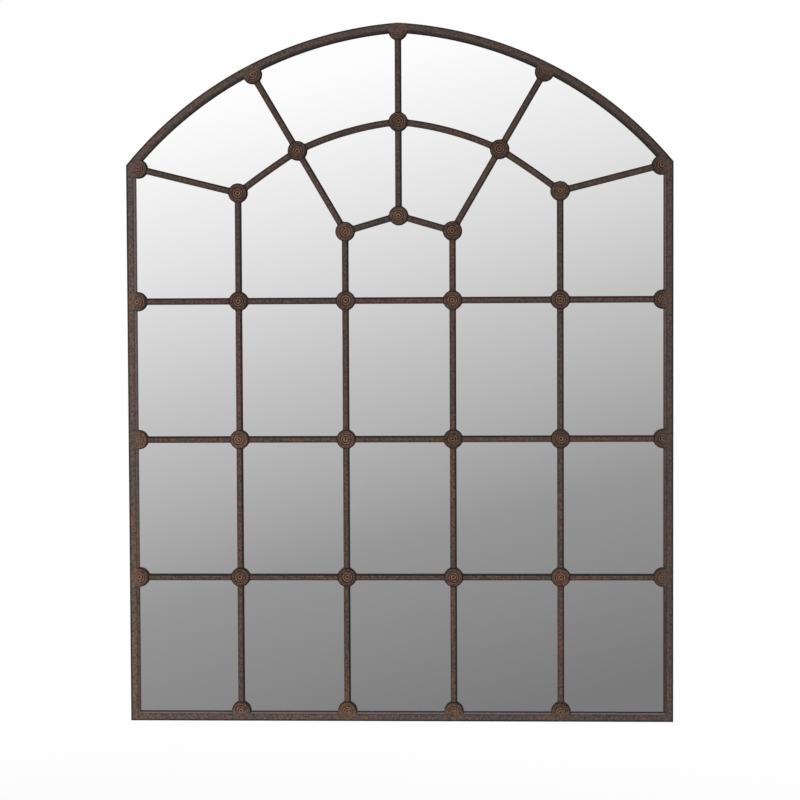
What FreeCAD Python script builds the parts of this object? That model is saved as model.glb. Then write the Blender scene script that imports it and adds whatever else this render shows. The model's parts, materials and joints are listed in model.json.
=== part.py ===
"""Arched wall mirror: an iron window frame with glazing bars and rosettes in front of one mirror sheet.

Millimetres. X runs to the right, Y from the front to the wall and Z up. The wall plane is y = 0, and the
origin is the middle of the bottom edge on that plane.
"""
import FreeCAD, Part
import os
import Sketcher

Vector = FreeCAD.Vector
Rotation = FreeCAD.Rotation
Constraint = Sketcher.Constraint

# Driving dimensions: name, value and meaning. Lengths are in millimetres.
SIZES = (
    ("overall_width", 1400, "width of the frame, outside"),
    ("springing_height", 1435, "height of the corners where the head starts"),
    ("head_radius", 1000, "outside radius of each head arc"),
    ("head_centre_offset", 68, "how far each arc's centre lies past the centre line"),
    ("frame_depth", 30, "depth of the frame from its face to the wall"),
    ("frame_face_width", 25, "width of the frame seen from the front"),
    ("frame_leg_thickness", 3, "thickness of the leg that runs back to the wall"),
    ("frame_flange_thickness", 8, "thickness of the flange in front of the glass"),
    ("frame_bevel_width", 6.5, "width of the bevel along the sight edge"),
    ("frame_sight_thickness", 3, "thickness left at the sight edge"),
    ("frame_eased_edge", 1, "chamfer along the outer front edge"),
    ("bar_base_width", 17, "width of a glazing bar on the glass"),
    ("bar_face_width", 8, "width of a glazing bar's front flat"),
    ("bar_side_height", 3, "height of a glazing bar's upright side"),
    ("bar_height", 8, "height of a glazing bar above the glass"),
    ("bar_cope_depth", 1.5, "depth of the shallow V that a bar's end is hollowed to"),
    ("mullion_pitch", 275, "distance between neighbouring mullions"),
    ("first_transom_height", 373, "height of the lowest transom line"),
    ("top_transom_drop", 350, "how far the top transom line lies under the springing"),
    ("middle_arch_outer_drop", 73, "how far the middle arch's outer rosettes lie under the springing"),
    ("middle_arch_shoulder_rise", 34, "how far its shoulder rosettes lie above the springing"),
    ("middle_arch_crown_rise", 106, "how far its crown rosette lies above the springing"),
    ("middle_arch_radius", 785, "radius of the middle arch beside its crown"),
    ("middle_arch_haunch_radius", 2200, "radius of the middle arch's outer lengths"),
    ("inner_arch_side_drop", 173, "how far the inner arch's side rosettes lie under the springing"),
    ("inner_arch_crown_drop", 133, "how far its crown rosette lies under the springing"),
    ("head_rosette_half_span", 373.5, "distance of the head's side rosettes from the centre line"),
    ("head_rosette_inset", 24, "how far those rosettes lie inside the head's outer edge"),
    ("crown_rosette_inset", 19, "how far the crown rosette lies under the crown"),
    ("springing_rosette_inset", 30, "how far the springing rosettes lie in from the frame's side"),
    ("springing_rosette_drop", 9, "how far the springing rosettes lie under the springing"),
    ("edge_rosette_inset", 26, "how far a rosette on a stile or the bottom rail lies in"),
    ("rosette_radius", 25, "radius of a rosette"),
    ("rosette_rim_height", 6.8, "height of a rosette's upright rim"),
    ("rosette_height", 11, "height of a rosette's flat middle"),
    ("rosette_middle_radius", 21, "radius of a rosette's flat middle"),
    ("glass_thickness", 4, "thickness of the mirror sheet"),
    ("glass_clearance", 1.5, "gap round the mirror sheet"),
    ("tape_thickness", 1, "thickness of the cushion tape"),
    ("tape_width", 18, "width of a strip of cushion tape"),
    ("tape_end_gap", 40, "gap between a strip's ends and the board's edge"),
    ("board_thickness", 6, "thickness of the backing board"),
    ("board_clearance", 2, "gap round the backing board"),
    ("wall_gap", 1.5, "gap between the wall plane and the clips and bars"),
    ("clip_thickness", 1.5, "thickness of a retaining clip"),
    ("clip_reach", 14, "how far a clip reaches over the board"),
    ("clip_width", 20, "width of a retaining clip"),
    ("cross_bar_height", 30, "height of a flat cross bar"),
    ("cross_bar_thickness", 3, "thickness of a flat cross bar"),
    ("hanger_bar_drop", 185, "how far the upper cross bar's middle lies under the springing"),
    ("brace_bar_height", 440, "height of the lower cross bar's middle"),
    ("ring_distance", 900, "distance between the two hanging rings"),
    ("ring_pin_diameter", 5, "diameter of a ring's pin"),
    ("ring_pin_standoff", 0.5, "gap between the pin and the cross bar"),
    ("ring_pin_clearance", 0.05, "running clearance between the pin and its bracket"),
    ("ring_plate_thickness", 4.4, "thickness of a ring"),
    ("ring_inner_width", 34, "width of a ring's opening"),
    ("ring_rim_width", 4.5, "width of a ring's rim"),
    ("ring_straight_length", 22, "length of a ring's straight sides under its pin"),
    ("ring_foot_width", 20, "width of the straight foot inside a ring"),
    ("ring_foot_depth", 33, "depth of that foot under the pin's axis"),
    ("ring_top_height", 1.5, "how far a ring's sides reach past its pin's axis"),
    ("bracket_thickness", 2, "thickness of a ring bracket"),
    ("bracket_side_gap", 2, "gap between a ring bracket and each side of its ring"),
    ("bracket_foot_length", 9, "length of a ring bracket's foot"),
    ("overrun", 20, "how far a cut runs past what it cuts"),
)

# Where the clips stand: shares of the springing height on a stile, and of half the width on the bottom rail
# and on the head. The strips of tape stand at shares of half the width.
STILE_CLIP_SHARES = (0.13, 0.52, 0.78)
BOTTOM_CLIP_SHARES = (-0.5, 0.5)
HEAD_CLIP_SHARES = (0.3, 0.7)
TAPE_SHARES = (-0.92, -0.56, -0.2, 0.2, 0.56, 0.92)

MULLION_COUNT = 4
TRANSOM_COUNT = 3
COLUMN_COUNT = MULLION_COUNT + 1

doc = FreeCAD.newDocument("arched_wall_mirror")


def make_sheet():
    """Write the driving dimensions into the spreadsheet, one alias for each."""
    sheet = doc.addObject("Spreadsheet::Sheet", "sizes")
    for row, (name, size, meaning) in enumerate(SIZES, start=1):
        sheet.set(f"A{row}", meaning)
        sheet.set(f"B{row}", str(size))
        sheet.setAlias(f"B{row}", name)
    return sheet


sizes_sheet = make_sheet()
layout = doc.addObject("App::VarSet", "layout")
doc.recompute()


def derive(name, expression):
    """Work out one place or size of the layout from the driving dimensions."""
    layout.addProperty("App::PropertyFloat", name, "Layout", "")
    layout.setExpression(name, expression)
    layout.recompute()
    return f"layout.{name}"


def number(expression):
    """The present value of an expression, for a sketch's starting shape."""
    result = layout.evalExpression(expression)
    return float(getattr(result, "Value", result))


# Depths from the wall plane. The front is towards negative y.
HALF_WIDTH = derive("half_width", "sizes.overall_width / 2")
FACE = derive("face_plane", "-sizes.frame_depth")
GLASS = derive("glass_plane", "-(sizes.frame_depth - sizes.frame_flange_thickness)")
TAPE = derive("tape_plane", "layout.glass_plane + sizes.glass_thickness")
BOARD = derive("board_plane", "layout.tape_plane + sizes.tape_thickness")
BOARD_BACK = derive("board_back_plane", "layout.board_plane + sizes.board_thickness")
BAR_BACK = derive("cross_bar_back_plane", "layout.board_back_plane + sizes.cross_bar_thickness")

# The head is two equal arcs that meet on the centre line.
HEAD_CENTRE = derive(
    "head_centre_height",
    "sizes.springing_height"
    " - sqrt(sizes.head_radius ^ 2 - (layout.half_width + sizes.head_centre_offset) ^ 2)",
)


def head_height(distance, inset):
    """Height of the head at a distance from the centre line, on a line inset from its outer edge."""
    reach = f"({distance} + sizes.head_centre_offset)"
    return f"(layout.head_centre_height + sqrt((sizes.head_radius - {inset}) ^ 2 - {reach} ^ 2))"


MITRE = derive(
    "springing_mitre_height",
    head_height("(layout.half_width - sizes.frame_face_width)", "sizes.frame_face_width"),
)
CROWN = derive("crown_height", head_height("0", "0"))
INNER_CROWN = derive("inner_crown_height", head_height("0", "sizes.frame_face_width"))

# Heights that follow the springing.
TRANSOM_PITCH = derive(
    "transom_pitch",
    f"(sizes.springing_height - sizes.top_transom_drop - sizes.first_transom_height) / {TRANSOM_COUNT - 1}",
)
HANGER_BAR = derive("hanger_bar_height", "sizes.springing_height - sizes.hanger_bar_drop")
OUTER_HEIGHT = derive("middle_arch_outer_height", "sizes.springing_height - sizes.middle_arch_outer_drop")
SHOULDER_HEIGHT = derive(
    "middle_arch_shoulder_height", "sizes.springing_height + sizes.middle_arch_shoulder_rise"
)
MIDDLE_CROWN = derive("middle_arch_crown_height", "sizes.springing_height + sizes.middle_arch_crown_rise")
INNER_SIDE = derive("inner_arch_side_height", "sizes.springing_height - sizes.inner_arch_side_drop")
INNER_ARCH_CROWN = derive("inner_arch_crown_height", "sizes.springing_height - sizes.inner_arch_crown_drop")
HEAD_ROSETTE = derive(
    "head_rosette_height", head_height("sizes.head_rosette_half_span", "sizes.head_rosette_inset")
)
STILE_ROSETTE = derive("stile_rosette_distance", "layout.half_width - sizes.edge_rosette_inset")

# A shoulder spoke runs straight from the inner arch through the middle arch to the head.
SPOKE_SLOPE = derive(
    "shoulder_spoke_slope",
    f"(sizes.head_rosette_half_span - sizes.mullion_pitch / 2) / ({HEAD_ROSETTE} - {INNER_SIDE})",
)
SHOULDER = derive(
    "shoulder_distance", f"sizes.mullion_pitch / 2 + {SPOKE_SLOPE} * ({SHOULDER_HEIGHT} - {INNER_SIDE})"
)


# Rosette centres: each is a pair of expressions, across and up.


def mullion_place(index):
    """Distance of a mullion from the centre line, negative on the left."""
    return f"(({index - (MULLION_COUNT - 1) / 2}) * sizes.mullion_pitch)"


def transom_height(line):
    """Height of a transom line, counted from the bottom."""
    return f"(sizes.first_transom_height + {line} * {TRANSOM_PITCH})"


def mirrored(side, distance):
    """A distance to the left (side -1) or to the right (side 1)."""
    return f"({side} * {distance})"


def springing_rosette(side):
    return (
        mirrored(side, "(layout.half_width - sizes.springing_rosette_inset)"),
        "(sizes.springing_height - sizes.springing_rosette_drop)",
    )


def head_rosette(side):
    return mirrored(side, "sizes.head_rosette_half_span"), HEAD_ROSETTE


def shoulder_rosette(side):
    return mirrored(side, SHOULDER), SHOULDER_HEIGHT


def outer_rosette(side):
    return mirrored(side, mullion_place(MULLION_COUNT - 1)), OUTER_HEIGHT


def inner_rosette(side):
    return mirrored(side, mullion_place(MULLION_COUNT // 2)), INNER_SIDE


CROWN_ROSETTE = ("0", "(layout.crown_height - sizes.crown_rosette_inset)")
MIDDLE_CROWN_ROSETTE = ("0", MIDDLE_CROWN)
INNER_CROWN_ROSETTE = ("0", INNER_ARCH_CROWN)


# Sketch and feature helpers.
def add_sketch(body, role, name):
    """A sketch on one of the body's own origin planes."""
    plane = next(part for part in body.Origin.OriginFeatures if part.Role == role)
    sketch = body.newObject("Sketcher::SketchObject", name)
    sketch.AttachmentSupport = [(plane, "")]
    sketch.MapMode = "FlatFace"
    return sketch


def bind_point(sketch, edge, end, across, up, axes="both"):
    """Hold one end or centre of an edge at a place given by expressions."""
    for kind, axis, expression in (("DistanceX", -2, across), ("DistanceY", -1, up)):
        if axes != "both" and axes != kind:
            continue
        if expression == "0":
            sketch.addConstraint(Constraint("PointOnObject", edge, end, axis))
            continue
        index = sketch.addConstraint(Constraint(kind, -1, 1, edge, end, number(expression)))
        sketch.setExpression(f"Constraints[{index}]", expression)


def add_polygon(sketch, corners):
    """A closed outline of straight edges through corners given as pairs of expressions."""
    points = [Vector(number(across), number(up), 0) for across, up in corners]
    first = sketch.GeometryCount
    count = len(points)
    for index in range(count):
        sketch.addGeometry(Part.LineSegment(points[index], points[(index + 1) % count]), False)
    for index in range(count):
        following = first + (index + 1) % count
        sketch.addConstraint(Constraint("Coincident", first + index, 2, following, 1))
    for index, (across, up) in enumerate(corners):
        bind_point(sketch, first + index, 1, across, up)


def add_circle(sketch, across, up, radius):
    centre = Vector(number(across), number(up), 0)
    index = sketch.addGeometry(Part.Circle(centre, Vector(0, 0, 1), number(radius)), False)
    bind_point(sketch, index, 3, across, up)
    held = sketch.addConstraint(Constraint("Radius", index, number(radius)))
    sketch.setExpression(f"Constraints[{held}]", radius)


def pad(body, sketch, name, length, sides="One side", reverse=False):
    feature = body.newObject("PartDesign::Pad", name)
    feature.Profile = sketch
    feature.SideType = sides
    feature.Reversed = reverse
    feature.setExpression("Length", length)
    return feature


def pocket_through(body, sketch, name):
    """Cut a sketch right through the body, both ways from its plane."""
    feature = body.newObject("PartDesign::Pocket", name)
    feature.Profile = sketch
    feature.Type = "ThroughAll"
    feature.Type2 = "ThroughAll"
    feature.SideType = "Symmetric"
    return feature


def revolve(body, sketch, name, axis, angle, both_ways=False):
    feature = body.newObject("PartDesign::Revolution", name)
    feature.Profile = sketch
    feature.ReferenceAxis = (sketch, [axis])
    feature.Midplane = both_ways
    feature.setExpression("Angle", angle)
    return feature


def new_body(label):
    body = doc.addObject("PartDesign::Body", label)
    body.Label = label
    return body


def stand(item, across, depth, up, turn="0", about=Vector(0, -1, 0)):
    """Place an item, turned about the depth axis so that its X swings from the right towards up."""
    item.Placement = FreeCAD.Placement(Vector(0, 0, 0), Rotation(about, number(turn)))
    item.setExpression("Placement.Base.x", across)
    item.setExpression("Placement.Base.y", depth)
    item.setExpression("Placement.Base.z", up)
    if turn != "0":
        item.setExpression("Placement.Rotation.Angle", turn)


parts = {}


def keep(label, item):
    """Record a finished sub-part under the name that it is written out with."""
    item.Label = label
    parts[label] = item
    return item


def group(label, items):
    compound = doc.addObject("Part::Compound", label)
    compound.Links = items
    return compound


def cut_by(label, base, tool):
    cut = doc.addObject("Part::Cut", label)
    cut.Base = base
    cut.Tool = tool
    return cut


# Frame: an angle whose flange is bevelled down to the glass along its sight edge.
def add_frame_section(sketch, across):
    """Draw the frame's section. The given function turns an inset from the outer edge into a place."""
    leg, face, eased = "sizes.frame_leg_thickness", "sizes.frame_face_width", "sizes.frame_eased_edge"
    corners = (
        ("0", "0"),
        (leg, "0"),
        (leg, GLASS),
        (face, GLASS),
        (face, f"{GLASS} - sizes.frame_sight_thickness"),
        (f"{face} - sizes.frame_bevel_width", FACE),
        (eased, FACE),
        ("0", f"{FACE} + {eased}"),
    )
    add_polygon(sketch, [(across(inset), depth) for inset, depth in corners])


def add_mitre(body, name, at, towards, setback):
    """Cut one end of a straight member from its outer corner to the setback at its sight edge."""
    slope = f"(({setback}) / sizes.frame_face_width)"
    inner = "(sizes.frame_face_width + sizes.overrun)"
    sketch = add_sketch(body, "XZ_Plane", name + "_line")
    add_polygon(
        sketch,
        (
            ("-sizes.overrun", f"{at} - {towards} * sizes.overrun * {slope}"),
            (inner, f"{at} + {towards} * {inner} * {slope}"),
            (inner, f"{at} - {towards} * sizes.overrun * {slope}"),
        ),
    )
    pocket_through(body, sketch, name)


def straight_member(label, length, start_setback, end_setback):
    """A mitred length of frame. Its X runs inwards from the outer edge and its Z along the member."""
    body = new_body(label)
    section = add_sketch(body, "XY_Plane", label + "_section")
    add_frame_section(section, lambda inset: inset)
    pad(body, section, label + "_length", length)
    add_mitre(body, label + "_start_mitre", "0", 1, start_setback)
    add_mitre(body, label + "_end_mitre", length, -1, end_setback)
    return body


def head_member(label, side):
    """One arc of the head, mitred to its stile and to the other arc."""
    body = new_body(label)
    centre = mirrored(-side, "sizes.head_centre_offset")
    rise = "(sizes.springing_height - layout.head_centre_height)"
    reach = "(layout.half_width + sizes.head_centre_offset)"
    start = f"atan({rise} / {reach})"
    finish = "acos(sizes.head_centre_offset / sizes.head_radius)"
    middle = f"(({start} + {finish}) / 2)"
    from_right = middle if side > 0 else f"(180 deg - {middle})"
    section = add_sketch(body, "XY_Plane", label + "_section")
    section.AttachmentOffset = FreeCAD.Placement(
        Vector(number(centre), 0, number(HEAD_CENTRE)), Rotation(Vector(0, -1, 0), number(from_right))
    )
    section.setExpression("AttachmentOffset.Base.x", centre)
    section.setExpression("AttachmentOffset.Base.z", HEAD_CENTRE)
    section.setExpression("AttachmentOffset.Rotation.Angle", from_right)
    add_frame_section(section, lambda inset: f"sizes.head_radius - ({inset})")
    spare = "asin(sizes.overrun / sizes.head_radius)"
    revolve(body, section, label + "_sweep", "V_Axis", f"{finish} - {start} + 2 * {spare}", both_ways=True)

    inner_reach = "(layout.half_width - sizes.frame_face_width)"
    slope = "((sizes.springing_height - layout.springing_mitre_height) / sizes.frame_face_width)"
    far = f"{side} * (layout.half_width + sizes.overrun)"
    near = f"{side} * ({inner_reach} - sizes.overrun)"
    below = "layout.springing_mitre_height - 2 * sizes.overrun"
    springing = add_sketch(body, "XZ_Plane", label + "_springing_line")
    add_polygon(
        springing,
        (
            (far, f"sizes.springing_height + sizes.overrun * {slope}"),
            (near, f"layout.springing_mitre_height - sizes.overrun * {slope}"),
            (near, below),
            (far, below),
        ),
    )
    pocket_through(body, springing, label + "_springing_mitre")

    past = f"{-side} * 2 * sizes.overrun"
    crown = add_sketch(body, "XZ_Plane", label + "_crown_line")
    add_polygon(
        crown,
        (
            ("0", f"{INNER_CROWN} - sizes.overrun"),
            (past, f"{INNER_CROWN} - sizes.overrun"),
            (past, f"{CROWN} + sizes.overrun"),
            ("0", f"{CROWN} + sizes.overrun"),
        ),
    )
    pocket_through(body, crown, label + "_crown_mitre")
    return body


def make_frame():
    """The five members, by name."""
    corner = "sizes.frame_face_width"
    springing = "(sizes.springing_height - layout.springing_mitre_height)"
    left = straight_member("left_stile", "sizes.springing_height", corner, springing)
    stand(left, f"-{HALF_WIDTH}", "0", "0")
    right = straight_member("right_stile", "sizes.springing_height", springing, corner)
    stand(right, HALF_WIDTH, "0", "sizes.springing_height", "180 deg", Vector(0, 1, 0))
    bottom = straight_member("bottom_rail", "sizes.overall_width", corner, corner)
    stand(bottom, HALF_WIDTH, "0", "0", "90 deg")
    return {
        "left_stile": left,
        "right_stile": right,
        "bottom_rail": bottom,
        "head_left": head_member("head_left", -1),
        "head_right": head_member("head_right", 1),
    }


# Glazing bars: a flat-topped section with bevelled shoulders. A straight bar's end is hollowed to a shallow V
# whose two sides touch the rosette's circle.
COPE_SLOPE = derive("bar_cope_slope", "2 * sizes.bar_cope_depth / sizes.bar_base_width")
COPE_TIP = derive("bar_cope_tip", "sizes.rosette_radius * sqrt(1 + layout.bar_cope_slope ^ 2)")


def add_bar_section(sketch, middle):
    half_base, half_face = "sizes.bar_base_width / 2", "sizes.bar_face_width / 2"
    shoulder = f"{GLASS} - sizes.bar_side_height"
    top = f"{GLASS} - sizes.bar_height"
    add_polygon(
        sketch,
        (
            (f"{middle} - {half_base}", GLASS),
            (f"{middle} + {half_base}", GLASS),
            (f"{middle} + {half_base}", shoulder),
            (f"{middle} + {half_face}", top),
            (f"{middle} - {half_face}", top),
            (f"{middle} - {half_base}", shoulder),
        ),
    )


def add_cope(sketch, along):
    """The gap that a rosette leaves in the bar stock, pointed at its two ends."""
    clear = "(sizes.bar_base_width / 2 + sizes.bar_side_height)"
    shoulder = f"({COPE_TIP} - {clear} * {COPE_SLOPE})"
    add_polygon(
        sketch,
        (
            ("0", f"{along} - {COPE_TIP}"),
            (clear, f"{along} - {shoulder}"),
            (clear, f"{along} + {shoulder}"),
            ("0", f"{along} + {COPE_TIP}"),
            (f"-{clear}", f"{along} + {shoulder}"),
            (f"-{clear}", f"{along} - {shoulder}"),
        ),
    )


def straight_bar(label, start, finish, between=()):
    """Bar stock from one rosette to another, cut round them and round any rosettes between them."""
    body = new_body(label)
    run = f"({finish[0]} - {start[0]})"
    rise = f"({finish[1]} - {start[1]})"
    section = add_sketch(body, "XY_Plane", label + "_section")
    add_bar_section(section, "0")
    pad(body, section, label + "_length", f"hypot({run}; {rise})")
    copes = add_sketch(body, "XZ_Plane", label + "_copes")
    add_cope(copes, "0")
    for point in (*between, finish):
        add_cope(copes, f"hypot({point[0]} - {start[0]}; {point[1]} - {start[1]})")
    pocket_through(body, copes, label + "_coped_ends")
    stand(body, start[0], "0", start[1], f"atan2({run}; {rise})", Vector(0, 1, 0))
    return keep(label, body)


def arched_bar(label, start, finish, radius):
    """A bar bent to a radius between two rosettes, bulging upwards. It runs from left to right."""
    body = new_body(label)
    run = f"({finish[0]} - {start[0]})"
    rise = f"({finish[1]} - {start[1]})"
    chord = derive(label + "_chord", f"hypot({run}; {rise})")
    fall = derive(label + "_centre_distance", f"sqrt({radius} ^ 2 - ({chord} / 2) ^ 2)")
    section = add_sketch(body, "XY_Plane", label + "_section")
    add_bar_section(section, radius)
    half_angle = f"asin({chord} / (2 * {radius}))"
    revolve(body, section, label + "_bend", "V_Axis", f"2 * {half_angle}", both_ways=True)
    copes = add_sketch(body, "XZ_Plane", label + "_copes")
    for end in (-1, 1):
        add_circle(copes, fall, f"{end} * {chord} / 2", "sizes.rosette_radius")
    pocket_through(body, copes, label + "_coped_ends")
    across = f"({start[0]} + {finish[0]}) / 2 + {rise} / {chord} * {fall}"
    up = f"({start[1]} + {finish[1]}) / 2 - {run} / {chord} * {fall}"
    stand(body, across, "0", up, f"atan2({run}; -{rise})")
    return keep(label, body)


def make_grid_bars():
    """Mullions from the bottom rail to the fan, and transom lengths between them."""
    lines = [transom_height(line) for line in range(TRANSOM_COUNT)]
    for index in range(MULLION_COUNT):
        place = mullion_place(index)
        outer = index in (0, MULLION_COUNT - 1)
        top = OUTER_HEIGHT if outer else INNER_SIDE
        straight_bar(
            f"mullion_{index + 1}",
            (place, "sizes.edge_rosette_inset"),
            (place, top),
            [(place, height) for height in lines],
        )
    columns = [f"(-{STILE_ROSETTE})"]
    columns += [mullion_place(index) for index in range(MULLION_COUNT)]
    columns += [f"({STILE_ROSETTE})"]
    for line, height in enumerate(lines):
        for bay in range(COLUMN_COUNT):
            label = f"transom_{line + 1}_bay_{bay + 1}"
            straight_bar(label, (columns[bay], height), (columns[bay + 1], height))


def make_fan_bars():
    """Spokes, middle arch and inner arch of the head."""
    straight_bar("springing_spoke_left", springing_rosette(-1), outer_rosette(-1))
    straight_bar("springing_spoke_right", outer_rosette(1), springing_rosette(1))
    straight_bar("shoulder_spoke_left", head_rosette(-1), inner_rosette(-1), [shoulder_rosette(-1)])
    straight_bar("shoulder_spoke_right", inner_rosette(1), head_rosette(1), [shoulder_rosette(1)])
    straight_bar("crown_spoke", INNER_CROWN_ROSETTE, CROWN_ROSETTE, [MIDDLE_CROWN_ROSETTE])
    haunch, crown = "sizes.middle_arch_haunch_radius", "sizes.middle_arch_radius"
    arched_bar("middle_arch_haunch_left", outer_rosette(-1), shoulder_rosette(-1), haunch)
    arched_bar("middle_arch_crown_left", shoulder_rosette(-1), MIDDLE_CROWN_ROSETTE, crown)
    arched_bar("middle_arch_crown_right", MIDDLE_CROWN_ROSETTE, shoulder_rosette(1), crown)
    arched_bar("middle_arch_haunch_right", shoulder_rosette(1), outer_rosette(1), haunch)
    straight_bar("inner_arch_left", inner_rosette(-1), INNER_CROWN_ROSETTE)
    straight_bar("inner_arch_right", INNER_CROWN_ROSETTE, inner_rosette(1))


# Rosettes: round cast bosses with a sloping face and a flat middle. They carry the bars' ends.
def rosette(label, place):
    body = new_body(label)
    section = add_sketch(body, "XY_Plane", label + "_section")
    profile = (
        ("0", "0"),
        ("sizes.rosette_radius", "0"),
        ("sizes.rosette_radius", "sizes.rosette_rim_height"),
        ("sizes.rosette_middle_radius", "sizes.rosette_height"),
        ("0", "sizes.rosette_height"),
    )
    add_polygon(section, [(radius, f"{GLASS} - {height}") for radius, height in profile])
    revolve(body, section, label + "_turned", "V_Axis", "360 deg")
    stand(body, place[0], "0", place[1])
    return body


def rosette_group(label, places):
    return group(label, [rosette(f"{label}_{index + 1}", place) for index, place in enumerate(places)])


def make_rosettes(frame, outline):
    """Whole rosettes on the lattice, and rosettes coped over the frame round its edge."""
    columns = [mullion_place(index) for index in range(MULLION_COUNT)]
    lines = [transom_height(line) for line in range(TRANSOM_COUNT)]
    for line, height in enumerate(lines):
        label = f"rosettes_transom_{line + 1}"
        keep(label, rosette_group(label, [(column, height) for column in columns]))
    middle = [outer_rosette(-1), shoulder_rosette(-1), MIDDLE_CROWN_ROSETTE]
    middle += [shoulder_rosette(1), outer_rosette(1)]
    inner = [inner_rosette(-1), INNER_CROWN_ROSETTE, inner_rosette(1)]
    keep("rosettes_middle_arch", rosette_group("rosettes_middle_arch", middle))
    keep("rosettes_inner_arch", rosette_group("rosettes_inner_arch", inner))

    edges = {
        "rosettes_left_stile": [(f"-{STILE_ROSETTE}", height) for height in lines],
        "rosettes_right_stile": [(STILE_ROSETTE, height) for height in lines],
        "rosettes_bottom_rail": [(column, "sizes.edge_rosette_inset") for column in columns],
        "rosettes_springing": [springing_rosette(-1), springing_rosette(1)],
    }
    for label, places in edges.items():
        keep(label, cut_by(label, rosette_group(label + "_whole", places), frame))
    head = rosette_group("rosettes_head_whole", [head_rosette(-1), CROWN_ROSETTE, head_rosette(1)])
    trimmed = doc.addObject("Part::Common", "rosettes_head")
    trimmed.Base = cut_by("rosettes_head_coped", head, frame)
    trimmed.Tool = outline
    keep("rosettes_head", trimmed)


# Flat sheets that fill the frame, each with the frame's arched outline set in by a margin.
def add_arched_outline(sketch, inset):
    """Bottom edge, two sides and the two head arcs."""
    half = number(HALF_WIDTH) - number(inset)
    bottom = number(inset)
    side_top_expression = head_height(f"(layout.half_width - ({inset}))", f"({inset})")
    side_top = number(side_top_expression)
    crown = number(head_height("0", f"({inset})"))
    radius = number(f"sizes.head_radius - ({inset})")
    corners = [Vector(-half, bottom, 0), Vector(half, bottom, 0), Vector(half, side_top, 0)]
    corners += [Vector(0, crown, 0), Vector(-half, side_top, 0)]
    first = sketch.GeometryCount
    for index in (0, 1):
        sketch.addGeometry(Part.LineSegment(corners[index], corners[index + 1]), False)
    for side in (1, -1):
        centre = Vector(-side * number("sizes.head_centre_offset"), number(HEAD_CENTRE), 0)
        start, finish = (corners[2], corners[3]) if side > 0 else (corners[3], corners[4])
        bulge = (start + finish) / 2 - centre
        bulge.normalize()
        sketch.addGeometry(Part.Arc(start, centre + bulge * radius, finish), False)
    sketch.addGeometry(Part.LineSegment(corners[4], corners[0]), False)
    count = len(corners)
    for index in range(count):
        sketch.addConstraint(Constraint("Coincident", first + index, 2, first + (index + 1) % count, 1))
    right, left = f"{HALF_WIDTH} - ({inset})", f"-({HALF_WIDTH} - ({inset}))"
    bind_point(sketch, first, 1, left, inset)
    bind_point(sketch, first + 1, 1, right, inset)
    bind_point(sketch, first + 2, 1, right, "0", axes="DistanceX")
    bind_point(sketch, first + 3, 1, "0", "0", axes="DistanceX")
    bind_point(sketch, first + 4, 1, left, "0", axes="DistanceX")
    for arc, side in ((first + 2, 1), (first + 3, -1)):
        bind_point(sketch, arc, 3, mirrored(-side, "sizes.head_centre_offset"), HEAD_CENTRE)
    held = sketch.addConstraint(Constraint("Radius", first + 2, radius))
    sketch.setExpression(f"Constraints[{held}]", f"sizes.head_radius - ({inset})")


def arched_sheet(label, inset, front, thickness):
    """A sheet of the given thickness behind the depth called front."""
    body = new_body(label)
    outline = add_sketch(body, "XZ_Plane", label + "_outline")
    add_arched_outline(outline, inset)
    pad(body, outline, label + "_sheet", thickness, reverse=True)
    stand(body, "0", front, "0")
    return body


def tape_strip(label, share, board_inset):
    """One upright strip of tape that stops short of the board's edge under the head."""
    body = new_body(label)
    outline = add_sketch(body, "XZ_Plane", label + "_outline")
    middle = f"({share} * {HALF_WIDTH})"
    half = "(sizes.tape_width / 2)"
    bottom = f"({board_inset} + sizes.tape_end_gap)"
    top = head_height(f"(abs({share}) * {HALF_WIDTH})", bottom)
    add_polygon(
        outline,
        (
            (f"{middle} - {half}", bottom),
            (f"{middle} + {half}", bottom),
            (f"{middle} + {half}", top),
            (f"{middle} - {half}", top),
        ),
    )
    pad(body, outline, label + "_sheet", "sizes.tape_thickness", reverse=True)
    stand(body, "0", TAPE, "0")
    return body


def make_sheets():
    """Mirror sheet, strips of cushion tape behind it, and backing board."""
    glass_inset = "(sizes.frame_leg_thickness + sizes.glass_clearance)"
    board_inset = "(sizes.frame_leg_thickness + sizes.board_clearance)"
    keep("mirror_glass", arched_sheet("mirror_glass", glass_inset, GLASS, "sizes.glass_thickness"))
    keep("backing_board", arched_sheet("backing_board", board_inset, BOARD, "sizes.board_thickness"))
    strips = [
        tape_strip(f"tape_{index + 1}", share, board_inset) for index, share in enumerate(TAPE_SHARES)
    ]
    keep("cushion_tape", group("cushion_tape", strips))


# Retaining clips. Their X runs outwards, and their origin is on the frame's outer edge.
def clip(label):
    """A bent steel clip: one side lies on the frame's leg, the other on the board's back."""
    body = new_body(label)
    section = add_sketch(body, "XY_Plane", label + "_section")
    outer = "-sizes.frame_leg_thickness"
    inner = f"{outer} - sizes.clip_thickness"
    tip = f"{outer} - sizes.clip_reach"
    foot = f"{BOARD_BACK} + sizes.clip_thickness"
    add_polygon(
        section,
        (
            (outer, BOARD_BACK),
            (outer, "-sizes.wall_gap"),
            (inner, "-sizes.wall_gap"),
            (inner, foot),
            (tip, foot),
            (tip, BOARD_BACK),
        ),
    )
    pad(body, section, label + "_width", "sizes.clip_width", sides="Symmetric")
    return body


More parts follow.
